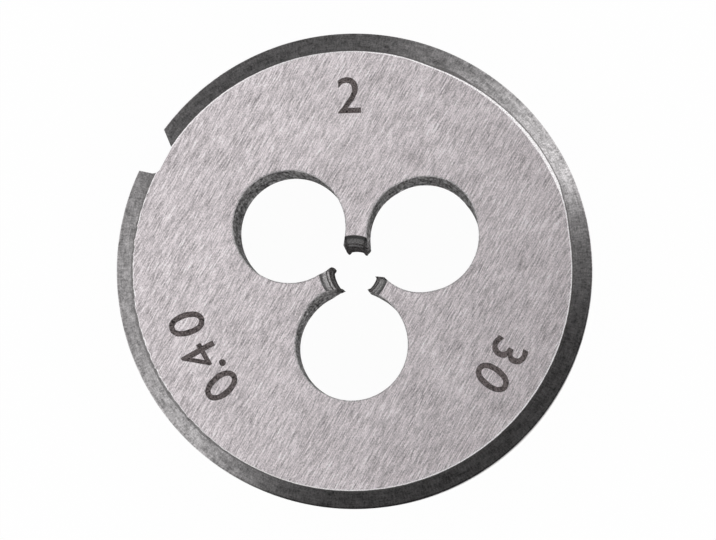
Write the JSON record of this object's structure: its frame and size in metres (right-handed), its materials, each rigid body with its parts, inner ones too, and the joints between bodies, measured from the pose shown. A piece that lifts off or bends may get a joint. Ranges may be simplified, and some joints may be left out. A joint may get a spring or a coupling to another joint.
{
  "type": "round threading die",
  "caption": "Round solid die that cuts a fine external screw thread, with chip holes round its threaded bore, a rim groove and screw seats for a die stock.",
  "frame": {"origin": "centre of the rear face, on the axis of the die, which is where it rests", "axes": "+Z along the axis towards the marked front face; seen from the front, the rim groove is 150 degrees round from +X"},
  "size_m": [0.016, 0.016, 0.005],
  "materials": {
    "ground_steel": "flat faces surface-ground with fine straight lines, rim and bevels turned, holes left as drilled and darker, size numbers etched dark"
  },
  "bodies": {
    "root": {"round_die": "ground_steel"}
  },
  "joints": []
}
